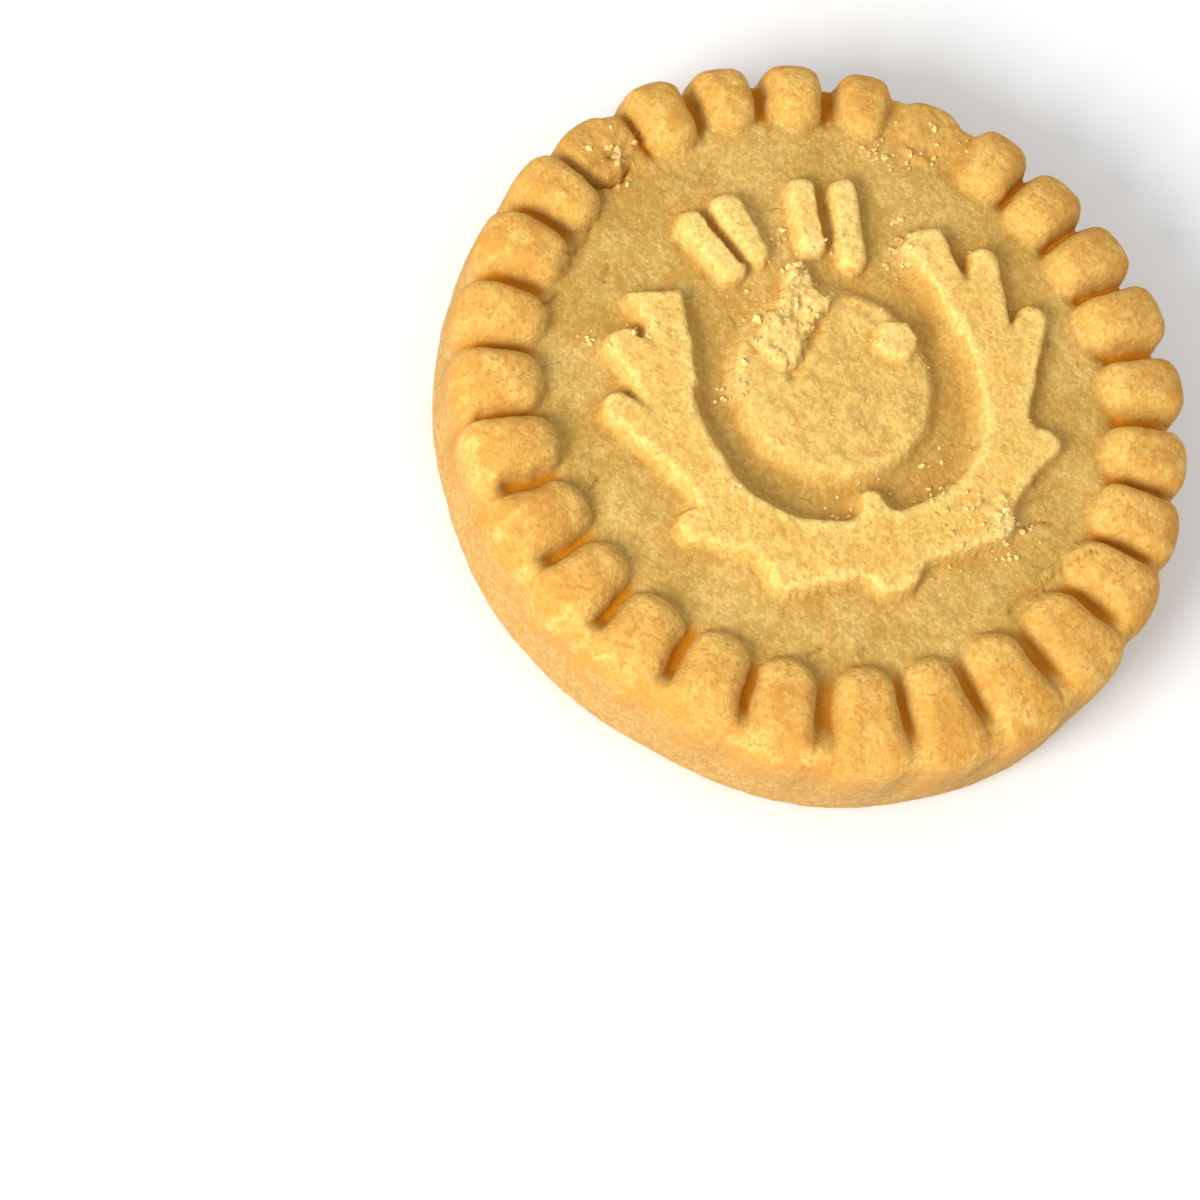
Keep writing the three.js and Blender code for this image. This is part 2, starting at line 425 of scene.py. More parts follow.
    def wreath(self, x: Array, y: Array) -> Array:
        """Gives the distance to the wreath's outline: a band, open above, with leaves, stem and foot.

        Args:
            x: Places across the face.
            y: Places up the face.

        Returns:
            The distance, negative inside.
        """
        dx, dy = x - self.ring_centre[0], y - self.ring_centre[1]
        rise = np.where(dy > 0, dy / self.arm_stretch, dy)
        reach = np.hypot(dx, rise)
        slant = np.abs(2 * dx * rise) / np.maximum(reach * reach, TINY)
        ring = self.ring_radius + self.ring_squareness * slant**2 * ease(-dy, -3.0, 7.0)
        above, below = self.ring_width
        width = above + (below - above) * ease(-dy, 3.0, 10.0)
        ring = np.maximum(np.maximum(ring - reach, reach - ring - width), dy - self.arms_from)
        shapes = (self.STEM, self.FOOT, *self.LEAVES)
        return joined([ring] + [shape.distance(x, y) for shape in shapes], self.fillet)

    def head(self, x: Array, y: Array, flat: Array) -> tuple[Array, Array]:
        """Shapes the thistle's round head, rubbed away above, where the flower grows from it.

        Args:
            x: Places across the face.
            y: Places up the face.
            flat: The same places, for the noise.

        Returns:
            The head's height and its dome, which is 1 on the head and 0 outside it.
        """
        hx, hy = x - self.head_centre[0], y - self.head_centre[1]
        out = np.hypot(hx, hy)
        dome = ease(out - self.head_radius, *self.HEAD_EDGE)
        worn = self.noise.layers(flat, Waves(0.2, 2.2, 4, 200)) * ease(out, *self.WORN)
        height = self.head_height * dome * (1 - self.head_crown * (out / self.head_radius) ** 2) + worn * dome
        rubbed = ease(hy - 0.25 * hx, *self.RUBBED_ABOVE) * ease(np.abs(hx), *self.RUBBED_WIDE)
        return height * (1 - self.head_rubbed * rubbed), dome

    def relief(self, x: Array, y: Array) -> dict[str, Array]:
        """Works out how high the picture stands over the field, how it wears, and where shade is painted on
        it.

        Args:
            x: Places across the face.
            y: Places up the face.

        Returns:
            height over the field, and masks from 0 to 1: sunk in the trough round the head and foot along the
            foot of the wreath's edge, both for painted shade; raised on the picture, pale on its palest
            parts, broken where the crust has crumbled, and slit in the cuts, which is also painted dark as
            shade.
        """
        noise = self.noise
        flat = np.column_stack([x, y, np.zeros_like(x)])
        wx = x + noise.layers(flat, Waves(0.12, 2.2, 2), Waves(0.06, 0.6, 1, 40))
        wy = y + noise.layers(flat, Waves(0.12, 2.2, 2, 80), Waves(0.06, 0.6, 1, 120))
        wreath, bud, tuft = self.wreath(wx, wy), self.BUD.distance(wx, wy), self.TUFT.distance(wx, wy)
        head, dome = self.head(wx, wy, flat)

        spots = [spot.at(x, y) for spot in self.CRUMBLED]
        crumble = np.maximum.reduce([0.5 * ease(tuft, *self.TUFT_EDGE), *spots])
        chips = noise.crumbly(flat, self.chip_size)

        on_wreath = pillow(-wreath, self.edge)
        on_bristles = pillow(-nearest_of(self.BRISTLES, wx, wy), self.bristle_edge)
        tops = self.height * (1 + noise.layers(flat, Waves(0.05, 4.5, 1, 20), Waves(0.035, 1.3, 2, 60)))
        torn = tuft + noise.layers(flat, Waves(0.7, 1.3, 3, 340))
        tuft_top = self.tuft_height + noise.layers(flat, Waves(0.5, 2.2, 3, 300)) + self.tuft_chips * chips
        height = np.maximum.reduce(
            [
                tops * on_wreath,
                tops * on_bristles,
                head,
                (self.head_height + self.bud_height) * pillow(-bud, self.small_edge),
                tuft_top * pillow(-torn, self.small_edge),
            ]
        )

        out = np.hypot(wx - self.head_centre[0], wy - self.head_centre[1])
        reach = np.hypot(wx - self.trough_centre[0], wy - self.trough_centre[1])
        trough = ease(out - self.head_radius, *self.TROUGH_EDGE) * ease(wreath, 0.0, 0.9)
        trough *= ease(reach, *self.TROUGH_REACH) * ease(y, *self.TROUGH_TOP)
        height = height - self.ring_depth * trough
        height = height - self.crease_depth * ease(self.CREASE.distance(wx, wy), *self.CREASE_EDGE)
        slit = ease(nearest_of(self.SLITS, wx, wy), *self.SLIT_EDGE)
        height = height - slit * (height + self.slit_depth)
        height = height + crumble * (self.chip_height * chips - self.crumble_sinks)

        on_bud = pillow(-bud, 0.5)
        patches = 0.45 * (0.5 + noise.layers(flat, Waves(0.6, 3.0, 3, 800))) * dome
        # Painted shade along the foot of the wreath's edge, in broken patches.
        foot = band(wreath, (-0.3, 0.1), (0.75, 0.25)) * ease(noise.smooth(flat + 860, 4.0, 3), -0.05, 0.35)
        masks = {
            "sunk": trough,
            "foot": foot,
            "raised": np.maximum.reduce([on_wreath, on_bristles, 0.9 * on_bud, 0.55 * dome]),
            "pale": np.maximum.reduce([on_bristles, on_bud, patches, pillow(-torn, 0.6)]),
            "broken": crumble,
            "slit": slit,
        }
        return {"height": height} | {name: np.clip(mask, 0, 1) for name, mask in masks.items()}


# --- The crimped rim ---


@dataclass
class CrimpedRim:
    """The ring of lobes round the edge, each a rounded pad that runs out into the wall."""

    count: int = 28
    inner: float = 21.95
    middle: float = 25.4
    half_width: float = 2.42
    narrowing: float = 0.06
    open_grooves: float = 100.0
    ring_turn: float = 0.8
    crowding_once: float = 2.7
    crowd_once_at: float = 28.0
    crowding_twice: float = 1.15
    crowd_twice_at: float = 60.0
    lean: float = 0.4
    lean_to: float = 60.0
    corner: float = 2.0
    edge: float = 1.6
    far_side: float = 50.0
    rubbed_lobe: int = 3
    rubbed_reach: float = 0.78
    rubbed_height: float = 0.34
    broken_lobe: int = 26
    broken_reach: float = 0.58
    ledge: Span = (0.12, 0.54)
    ledge_from: Span = (24.4, 25.3)
    seed: int = 5

    # How uneven the lobes are: in place, width, start, height and tilt.
    UNEVEN = (0.007, 0.035, 0.2, 0.1, 0.06)

    def __post_init__(self) -> None:
        """Draws each lobe's own size and place."""
        draw = np.random.default_rng(self.seed)
        shift, wide, start, high, tilt = (draw.normal(0, uneven, self.count) for uneven in self.UNEVEN)
        self.shift, self.wide, self.start, self.high, self.tilt = shift, 1 + wide, start, high, tilt

    def turns(self, angle: Array) -> Array:
        """Counts lobes clockwise from the one above the flower, though they crowd on one side.

        Args:
            angle: Directions from the middle, in radians.

        Returns:
            Each direction's place among the lobes: a whole number at a lobe's middle.
        """
        once = self.crowding_once * np.cos(angle + math.radians(self.crowd_once_at))
        twice = self.crowding_twice * np.cos(2 * angle + math.radians(self.crowd_twice_at))
        evened = angle - np.radians(once + twice - self.ring_turn)
        return (math.pi / 2 - evened) / (2 * math.pi) * self.count

    def around(self, angle: Array, lobe: int, reach: float) -> Array:
        """Marks the stretch of the rim round one lobe.

        Args:
            angle: Directions from the middle.
            lobe: The lobe's number.
            reach: How far the stretch goes to either side, in lobes.

        Returns:
            1 within the stretch, falling smoothly to 0 outside it.
        """
        away = np.abs((self.turns(angle) - lobe + self.count / 2) % self.count - self.count / 2)
        return ease(away, reach, reach - 0.22)

    def weight(self, radius: Array, angle: Array, drift: Array) -> dict[str, Array]:
        """Works out how much of a lobe stands at each place.

        Args:
            radius: Distances from the middle along the face.
            angle: Directions from the middle.
            drift: Small sideways shifts that make the lobes' edges uneven.

        Returns:
            stands, from 0 in a groove to 1 on a lobe; across, from -1 to 1 over the lobe's width; lift, its
            own extra height; broken, 1 where it has crumbled; gap, 1 between two lobes; and far, 1 on the
            rim's far side.
        """
        pitch = 2 * math.pi / self.count
        turn = self.turns(angle)
        lobe = np.round(turn).astype(int)
        past = (turn - lobe) * pitch
        lobe = lobe % self.count
        past = past - self.shift[lobe]

        opened = np.cos(2 * (angle - math.radians(self.open_grooves)))
        half = self.half_width * self.wide[lobe] * (1 - self.narrowing * opened) * radius / self.middle
        side = past * radius + drift
        begin = self.inner + self.start[lobe] + self.lean * np.cos(angle - math.radians(self.lean_to))
        along = radius - begin + drift * 0.7
        dx = np.abs(side) - (half - self.corner)
        dy = self.corner - along
        outside = np.hypot(np.maximum(dx, 0), np.maximum(dy, 0)) + np.minimum(np.maximum(dx, dy), 0)
        stands = pillow(self.corner - outside, self.edge)
        across = np.clip(side / np.maximum(half, TINY), -1, 1)

        rubbed = self.around(angle, self.rubbed_lobe, self.rubbed_reach) * ease(along, -0.6, 1.2)
        torn = self.around(angle, self.broken_lobe, self.broken_reach) * ease(along, -0.8, 0.4)
        inner, outer = self.ledge
        ledge = inner + (outer - inner) * ease(radius, *self.ledge_from)
        stands = stands * (1 - rubbed) + self.rubbed_height * rubbed * ease(along, 0.0, 3.0)
        stands = stands * (1 - torn) + ledge * torn
        broken = np.maximum(0.7 * rubbed, torn)
        return {
            "stands": stands,
            "across": across,
            "lift": self.high[lobe] + self.tilt[lobe] * across,
            "broken": broken,
            "gap": ease(2 * np.abs(past) / pitch, 0.5, 0.95) * ease(along, 0.0, 2.0) * (1 - broken),
            "far": toward(angle, self.far_side),
        }


# --- The whole skin ---


@dataclass(frozen=True)
class Swell:
    """A stretch of the edge where the dough spread further in the oven, or less far."""

    direction: float
    width: float
    out: float

    def at(self, angle: Array) -> Array:
        """Gives how many millimetres the edge stands out in each direction."""
        past = (np.degrees(angle) - self.direction + 180) % 360 - 180
        return self.out * np.exp(-((past / self.width) ** 2))


@dataclass
class Biscuit:
    """The biscuit's skin: face, rim, wall and underside in one closed mesh.

    The skin is laid out by two numbers: the direction from the middle, and the way walked along the skin
    outwards from the middle of the face. GROOVE and LOBE hold the section through a groove and through a
    lobe's crest, as radius and height at the same ways walked, which are measured along GROOVE.
    """

    grid: int = 244
    face_walk: float = 31.4
    wall_rows: int = 30
    last_row: float = 0.4
    spread_two: float = 0.004
    spread_three: float = 0.003
    flat_angle: float = 1.7
    flat_width: float = 0.6
    flat_depth: float = 0.7
    open_side: float = 70.0
    round_ends: float = 1.05
    far_groove: float = 0.75
    brown_side: float = 165.0
    brown_crests: float = 2.5
    brown_ends: float = 1.2
    chip_size: float = 1.25
    chip_height: float = 0.28
    loose_chip: float = 0.75
    crevice_depth: float = 0.95
    crack_depth: float = 0.32
    fine_rounds: int = 6
    broad_rounds: int = 40
    thistle: Thistle = field(default_factory=Thistle)
    rim: CrimpedRim = field(default_factory=CrimpedRim)
    noise: Noise = field(default_factory=lambda: Noise(3))

    FIELD = ((0.0, 9.45), (10.0, 9.42), (18.0, 9.3))
    UNDER = ((28.1, 0.65), (27.1, 0.05), (26.2, 0.0))
    GROOVE = (
        FIELD
        + ((21.5, 9.2), (23.5, 9.15), (25.3, 9.1), (26.7, 9.1), (27.75, 8.85), (28.3, 8.1))
        + ((28.5, 6.9), (28.7, 5.3), (28.8, 3.6), (28.7, 2.0))
        + UNDER
    )
    LOBE = (
        FIELD
        + ((21.5, 10.45), (23.5, 10.9), (25.3, 11.0), (26.8, 10.75), (28.05, 10.15), (28.75, 9.15))
        + ((28.95, 7.6), (28.9, 5.7), (28.85, 3.8), (28.7, 2.05))
        + UNDER
    )
    SWELLS = (
        Swell(281.0, 24.0, 1.7),
        Swell(250.0, 16.0, 0.9),
        Swell(312.0, 18.0, 0.5),
        Swell(0.0, 26.0, 0.85),
        Swell(205.0, 26.0, 0.25),
        Swell(78.0, 14.0, -0.3),
        Swell(100.0, 30.0, 0.4),
    )
    # Where things set in or fade out: INSIDE, RIM and SPREADS as radii, the others as ways walked.
    INSIDE = (21.8, 20.8)
    RIM = (21.6, 22.6)
    SPREADS = (25.2, 28.4)
    FACE = (33.0, 29.0)
    SAND = (36.5, 33.0)
    WALL = (27.6, 31.0)
    BROKEN = (31.5, 28.5)
    LOBE_ENDS = ((26.5, 28.8), (35.0, 31.0))
    BROWN_CRESTS = ((23.0, 25.2), (33.0, 27.5))
    BROWN_ENDS = ((25.8, 28.2), (34.5, 29.0))
    GROOVES_END_FAR = (30.2, 35.0)
    GROOVES_END_NEAR = (25.8, 28.4)
    DRIFT = Waves(0.16, 2.0, 2)
    SLOW = (Waves(0.10, 9.0, 2, 30), Waves(0.05, 3.0, 2, 70))
    SANDY = (Waves(0.05, 0.9, 2, 110), Waves(0.03, 0.5, 1, 150))
    BULGE = (Waves(0.10, 7.0, 2, 190), Waves(0.05, 1.8, 2, 230))
    MOTTLE = Waves(1.1, 2.4, 4, 400)
    CHIP = Patch(((-11.9, 21.5), (-10.6, 22.3), (-9.4, 22.0), (-9.6, 21.2), (-11.0, 20.9)), 0.2)
    CREVICE = Crack(((-12.0, 20.9), (-10.7, 20.4), (-9.3, 20.7), (-8.6, 21.5)))
    CRACKS = (
        Crack(((8.2, -19.7), (9.8, -18.7), (11.6, -18.4), (13.2, -17.5), (15.9, -17.0))),
        Crack(((-13.9, 13.2), (-13.3, 13.5), (-12.9, 14.1))),
        Crack(((-13.5, 13.4), (-13.7, 12.9))),
        Crack(((-16.4, 15.3), (-15.1, 15.8), (-13.9, 16.6), (-13.2, 17.6))),
        Crack(((-19.4, 12.1), (-18.3, 12.3), (-17.6, 12.8))),
        Crack(((11.4, -13.7), (12.6, -13.3), (14.0, -13.5))),
        Crack(((-20.3, -3.0), (-19.4, -2.2))),
        Crack(((-8.6, -19.2), (-7.2, -18.9))),
    )

    def stops(self) -> Array:
        """Gives the way walked along GROOVE to each of its points."""
        steps = np.linalg.norm(np.diff(np.array(self.GROOVE), axis=0), axis=1)
        return np.concatenate([[0], np.cumsum(steps)])

    def section(self, walked: Array, keys: tuple[Place, ...]) -> Array:
        """Reads a section as a smooth curve.

        Args:
            walked: Ways walked from the middle of the face.
            keys: The section's points.

        Returns:
            Radius and height for each way walked.
        """
        points, stops = np.array(keys), self.stops()
        slopes = np.gradient(points, stops, axis=0)
        spot = np.clip(np.searchsorted(stops, walked, side="right") - 1, 0, len(stops) - 2)
        span = stops[spot + 1] - stops[spot]
        part = np.clip((walked - stops[spot]) / span, 0, 1)[:, None]
        span = span[:, None]
        square, cube = part**2, part**3
        return (
            (2 * cube - 3 * square + 1) * points[spot]
            + (cube - 2 * square + part) * span * slopes[spot]
            + (3 * square - 2 * cube) * points[spot + 1]
            + (cube - square) * span * slopes[spot + 1]
        )

    def lay_out(self) -> tuple[Array, Array, Faces]:
        """Lays the skin's corners and faces out by direction and way walked.

        Returns:
            The directions, the ways walked, and the faces.
        """
        count = self.grid
        line = np.linspace(-1, 1, count + 1)
        across, up = (part.ravel() for part in np.meshgrid(line, line))
        wider = np.abs(across) > np.abs(up)
        reach = np.where(wider, across, up)
        with np.errstate(divide="ignore", invalid="ignore"):
            share = np.where(wider, up / across, across / up)
        share = np.nan_to_num(share) * math.pi / 4
        x = np.where(wider, reach * np.cos(share), reach * np.sin(share))
        y = np.where(wider, reach * np.sin(share), reach * np.cos(share))
        walks = [np.hypot(x, y) * self.face_walk]
        angles = [np.arctan2(y, x)]

        wide = count + 1
        first = (np.arange(count)[:, None] * wide + np.arange(count)).ravel()
        faces = [(a, a + 1, a + 1 + wide, a + wide) for a in first.tolist()]
        last = (
            [i for i in range(count)]
            + [count + i * wide for i in range(count)]
            + [count * wide + count - i for i in range(count)]
            + [(count - i) * wide for i in range(count)]
        )
        end = self.stops()[-1]
        rows = np.linspace(self.face_walk, end - self.last_row, self.wall_rows + 1)[1:]
        start, around = wide * wide, len(last)
        ring_angle = angles[0][last]
        for row in [*rows, end]:
            here = list(range(start, start + around))
            angles.append(ring_angle)
            walks.append(np.full(around, row))
            nexts = [(i, (i + 1) % around) for i in range(around)]
            faces += [(last[i], here[i], here[j], last[j]) for i, j in nexts]
            last, start = here, start + around
        faces.append(tuple(reversed(last)))
        return np.concatenate(angles), np.concatenate(walks), faces

    def crimp(self, angle: Array, walked: Array) -> tuple[Array, Array, dict[str, Array], Array]:
        """Mixes the two sections, so that lobes stand between grooves and run out into the wall.

        Args:
            angle: Directions from the middle.
            walked: Ways walked along the skin.

        Returns:
            Each corner's radius and height; its radius in a groove; the lobes' masks; and the drift.
        """
        groove, lobe = self.section(walked, self.GROOVE), self.section(walked, self.LOBE)
        even = np.column_stack([groove[:, 0] * np.cos(angle), groove[:, 0] * np.sin(angle), groove[:, 1]])
        drift = self.noise.layers(even, self.DRIFT)
        lobes = self.rim.weight(groove[:, 0], angle, drift)

        # Grooves run out over the edge on the far side and stop short of it on the near side.
        near = ease(1 - toward(angle, self.open_side), 0.15, 0.8)
        ends = [far + (close - far) * near for far, close in zip(self.GROOVES_END_FAR, self.GROOVES_END_NEAR)]
        on_wall = ease(walked, *ends)
        stands = lobes["stands"] * (1 - on_wall) + on_wall
        section = groove + stands[:, None] * (lobe - groove)
        section[:, 1] += stands * lobes["lift"] * (1 - on_wall)
        section[:, 1] -= self.far_groove * lobes["far"] * lobes["gap"] * (1 - stands)
        rounded = np.abs(lobes["across"]) ** 3 * band(walked, *self.LOBE_ENDS)
        section[:, 0] -= self.round_ends * (0.35 + 0.65 * lobes["far"]) * rounded
        return section, groove[:, 0], lobes | {"stands": stands}, drift

    def spread(self, radius: Array, angle: Array, walked: Array, flat_radius: Array) -> Array:
        """Spreads the edge unevenly, as dough does in the oven.

        Args:
            radius: Distances from the middle.
            angle: Directions from the middle.
            walked: Ways walked along the skin.
            flat_radius: The radius in a groove at the same ways walked.

        Returns:
            The spread distances.
        """
        outside = np.clip((radius - 24.0) / 4.7, 0, None)
        flattened = self.flat_depth * np.exp(-(((angle - self.flat_angle) / self.flat_width) ** 2))
        swollen = sum(swell.at(angle) for swell in self.SWELLS)
        on_face = ease(flat_radius, *self.SPREADS) * (walked > 24)
        swollen = swollen * np.where(walked > 31, 1, on_face)
        waves = self.spread_two * np.cos(2 * angle - 1.3) + self.spread_three * np.cos(3 * angle + 1.1)
        return (radius - flattened * outside + swollen) * (1 + waves)

    def shape(self, angle: Array, walked: Array) -> tuple[Array, dict[str, Array]]:
        """Works out where each corner of the skin lies and how it is baked.

        Args:
            angle: Directions from the middle.
            walked: Ways walked along the skin.

        Returns:
            The corners in millimetres, and the masks that the crust's finish reads.
        """
        section, flat_radius, lobes, drift = self.crimp(angle, walked)
        radius, height = section[:, 0], section[:, 1]
        x, y = radius * np.cos(angle), radius * np.sin(angle)
        picture = self.thistle.relief(x, y)
        inside = ease(radius, *self.INSIDE)
        height = height + picture["height"] * inside

        # The broken lobes' rough flesh, the chip that came loose there, and the cracks.
        flat = np.column_stack([x, y, height])
        rough = self.chip_height * self.noise.crumbly(flat, self.chip_size)
        height = height + lobes["broken"] * rough * ease(height, 6.0, 8.0)
        height = height + self.loose_chip * pillow(-self.CHIP.distance(x + drift, y - drift), 0.35)
        crevice = ease(self.CREVICE.distance(x + drift, y - drift), 0.3, 0.0)
        crack = ease(nearest_of(self.CRACKS, x + 0.5 * drift, y + 0.5 * drift), 0.26, 0.0)
        height = height - self.crevice_depth * crevice - self.crack_depth * crack

        # Dough is never quite even: slow waves, then the sandy grain.
        face = ease(walked, *self.FACE)
        sandy = self.noise.layers(flat, *self.SANDY)
        slow = self.noise.layers(flat, *self.SLOW)
        height = height + face * slow + sandy * ease(walked, *self.SAND)
        bulge = self.noise.layers(flat, *self.BULGE)
        radius = radius + (bulge + sandy) * (1 - face) * ease(height, 0.1, 1.6)
        radius = self.spread(radius, angle, walked, flat_radius)
        points = np.column_stack([radius * np.cos(angle), radius * np.sin(angle), height])

        stands = lobes["stands"]
        # The cuts' mask steers painted shade in slits, cracks and the crevice.
        cuts = [0.8 * picture["slit"] * inside, 0.8 * crack, 0.95 * crevice]
        masks = {
            "rubbed": lobes["broken"] * ease(walked, *self.BROKEN),
            "rim": ease(flat_radius, *self.RIM) * stands,
            "wall": ease(walked, *self.WALL),
            "slit": np.maximum.reduce(cuts),
            "gap": lobes["gap"],
            "toast": self.toasting(angle, walked, flat) * (0.35 + 0.65 * stands),
        }
        for name in ("raised", "broken", "pale", "sunk", "foot"):
            masks[name] = picture[name] * inside
        return points, masks

    def toasting(self, angle: Array, walked: Array, flat: Array) -> Array:
        """Works out how brown the oven made the lobes: most on the left, least on the right.

        Args:
            angle: Directions from the middle.
            walked: Ways walked along the skin.
            flat: Places, for the mottling.

        Returns:
            The browning, from 0 to 1.
        """
        left = toward(angle, self.brown_side)
        crests = (0.35 + 0.65 * left) * band(walked, *self.BROWN_CRESTS)
        ends = (1 - 0.6 * left) * band(walked, *self.BROWN_ENDS)
        mottled = 0.5 + self.noise.layers(flat, self.MOTTLE)
        return np.clip((self.brown_crests * crests + self.brown_ends * ends) * mottled, 0, 1)

    def hollows(self, points: Array, faces: Faces, rounds: int) -> Array:
        """Works out how hollow the skin is at each corner, from how far it lies below its surroundings.

        Args:
            points: The skin's corners.
            faces: The skin's faces.
            rounds: How many times the surroundings are spread, which sets how wide they are.

        Returns:
            Millimetres below the surroundings, along the outward normal.
        """
        size = len(points)
        quads = np.array([face for face in faces if len(face) == 4])
        edges = np.concatenate([quads[:, [i, (i + 1) % 4]] for i in range(4)])
        degree = np.bincount(edges.ravel(), minlength=size)[:, None]
        smooth = points.copy()
        for _ in range(rounds):
            total = np.zeros_like(smooth)
            for axis, (here, there) in product(range(3), ((0, 1), (1, 0))):
                total[:, axis] += np.bincount(edges[:, here], smooth[edges[:, there], axis], size)
            smooth = 0.5 * smooth + 0.5 * total / degree
        corners = points[quads]
        spans = np.cross(corners[:, 2] - corners[:, 0], corners[:, 3] - corners[:, 1])
        normal = np.zeros_like(points)
        for corner, axis in product(range(4), range(3)):
            normal[:, axis] += np.bincount(quads[:, corner], spans[:, axis], size)
        normal /= np.maximum(np.linalg.norm(normal, axis=1, keepdims=True), TINY)
        return np.sum((smooth - points) * normal, axis=1)

    def build(self) -> bpy.types.Object:
        """Builds the skin as a Blender mesh with its masks.

        Returns:
            The biscuit's object. Its middle and its face's corners are kept for the studio and the crumbs.
        """
        angle, walked, faces = self.lay_out()
        points, masks = self.shape(angle, walked)
        # The hollow masks steer painted shade in hollows and a painted highlight on edges that stand out.
        masks["hollow_fine"] = self.hollows(points, faces, self.fine_rounds)
        masks["hollow_broad"] = self.hollows(points, faces, self.broad_rounds)
        low, high = points.min(axis=0), points.max(axis=0)
        self.middle = tuple(((low + high) / 2)[:2].tolist())
        self.top = points[: (self.grid + 1) ** 2] - np.array([0, 0, low[2]])

        piece = new_piece("biscuit_skin", points - np.array([*self.middle, low[2]]), faces)
        mesh = piece.data
        mesh.polygons.foreach_set("use_smooth", [True] * len(mesh.polygons))
        for name, values in masks.items():
            layer = mesh.attributes.new(name, "FLOAT", "POINT")
            layer.data.foreach_set("value", np.ascontiguousarray(values, dtype=np.float32))
        return piece


def new_piece(name: str, points: Array, faces: Faces) -> bpy.types.Object:
    """Makes a mesh object and puts it in the scene.

    Args:
        name: The object's name.
        points: Its corners, in millimetres.
        faces: Its faces.

    Returns:
        The object.
    """
    mesh = bpy.data.meshes.new(name)
    mesh.from_pydata((points * MM).tolist(), [], faces)
    piece = bpy.data.objects.new(name, mesh)
    bpy.context.scene.collection.objects.link(piece)
    return piece


# --- Loose crumbs ---


@dataclass(frozen=True)
class Scatter:
    """A sprinkle of crumbs round one spot on the face."""

    spot: Place
    spread: float
    count: int
    size: float


@dataclass
class Crumbs:
    """Small angular crumbs that lie on the face, as one joined mesh."""

    seed: int = 71
    reach: float = 26.5
    size: float = 0.52
    largest: float = 0.34
    variety: float = 0.42
    lift: float = 0.2
    knocked: Span = (0.65, 1.25)
    bumped: float = 0.14
    stretched: Span = (0.65, 1.45)

    SPRINKLES = (
        Scatter((-0.6, 6.6), 1.7, 60, 0.26),
        Scatter((1.3, 10.0), 1.0, 22, 0.3),
        Scatter((-7.4, 1.9), 0.6, 14, 0.3),
        Scatter((-16.3, 8.2), 0.45, 8, 0.3),
        Scatter((-12.5, 7.6), 0.45, 8, 0.26),
        Scatter((-10.4, -5.8), 0.4, 6, 0.26),
        Scatter((3.6, -12.4), 2.2, 36, 0.2),
        Scatter((6.5, -11.2), 1.6, 22, 0.22),
        Scatter((10.2, -12.6), 1.2, 34, 0.3),
        Scatter((9.6, -15.2), 0.7, 10, 0.3),
        Scatter((9.9, 9.9), 0.7, 22, 0.28),
        Scatter((12.0, 11.3), 1.2, 12, 0.24),
        Scatter((7.0, -6.4), 0.5, 5, 0.26),
        Scatter((1.2, 13.3), 0.5, 6, 0.26),
        Scatter((4.4, 11.9), 0.7, 12, 0.24),
        Scatter((15.4, -6.0), 0.4, 6, 0.22),
        Scatter((-2.3, -9.4), 0.5, 10, 0.22),
        Scatter((11.2, 18.6), 1.0, 14, 0.26),
        Scatter((14.5, 17.6), 0.8, 6, 0.26),
        Scatter((17.5, 19.5), 1.8, 26, 0.24),
        Scatter((-9.6, 22.0), 1.4, 26, 0.28),
        Scatter((10.2, 12.6), 0.6, 5, 0.22),
        Scatter((0.0, 0.0), 9.0, 60, 0.13),
        Scatter((0.0, 0.0), 14.0, 70, 0.11),
    )

    def ball(self) -> tuple[Array, Faces]:
        """Makes the ball of twenty sides that every crumb is knocked out of.

        Returns:
            Its corners, at a distance of 1 from its middle, and its faces.
        """
        golden = (1 + math.sqrt(5)) / 2
        corners = []
        for a, b in product((-1, 1), (-golden, golden)):
            corners += [(0, a, b), (a, b, 0), (b, 0, a)]
        base = np.array(corners) / math.sqrt(1 + golden**2)
        spans = np.linalg.norm(base[:, None] - base[None], axis=2)
        touching = spans < spans[spans > TINY].min() * 1.05
        faces = []
        for a, b, c in combinations(range(len(base)), 3):
            if touching[a, b] and touching[b, c] and touching[a, c]:
                outward = np.dot(np.cross(base[b] - base[a], base[c] - base[a]), base[a]) > 0
                faces.append((a, b, c) if outward else (a, c, b))
        return base, faces

    def build(self, top: Array, middle: Place) -> bpy.types.Object:
        """Scatters the crumbs over the face.

        Args:
            top: The face's corners in millimetres, to lay the crumbs on.
            middle: Where the biscuit's middle lies among them.

        Returns:
            The crumbs' object.
        """
        draw = np.random.default_rng(self.seed)
        base, sides = self.ball()
        corners, faces = [], []
        for sprinkle in self.SPRINKLES:
            for _ in range(sprinkle.count):
                spot = np.array(sprinkle.spot) + draw.normal(0, sprinkle.spread, 2)
                size = min(self.size * sprinkle.size * draw.lognormal(0, self.variety), self.largest)
                if np.hypot(*spot) > self.reach:
                    continue
                knocked = base * draw.uniform(*self.knocked, (12, 1)) + draw.normal(0, self.bumped, (12, 3))
                chip = knocked * draw.uniform(*self.stretched, 3) * size
                spin = Matrix.Rotation(draw.uniform(0, 6.283), 3, Vector(draw.normal(size=3)).normalized())
                below = top[np.argmin(np.sum((top[:, :2] - spot) ** 2, axis=1)), 2]
                start = len(corners) * len(base)
                corners.append(chip @ np.array(spin).T + np.array([*spot, below + self.lift * size]))
                faces += [tuple(start + i for i in side) for side in sides]
        return new_piece("loose_crumbs", np.concatenate(corners) - np.array([*middle, 0.0]), faces)


# --- Finishes ---


class Sum(Enum):
    """The sums of two numbers that the materials do."""

    PLUS = "ADD"
    LESS = "SUBTRACT"
    TIMES = "MULTIPLY"
    OVER = "DIVIDE"
    LARGER = "MAXIMUM"


class Blend(Enum):
    """The ways in which one colour goes over another."""

    COVER = "MIX"
    TINT = "MULTIPLY"


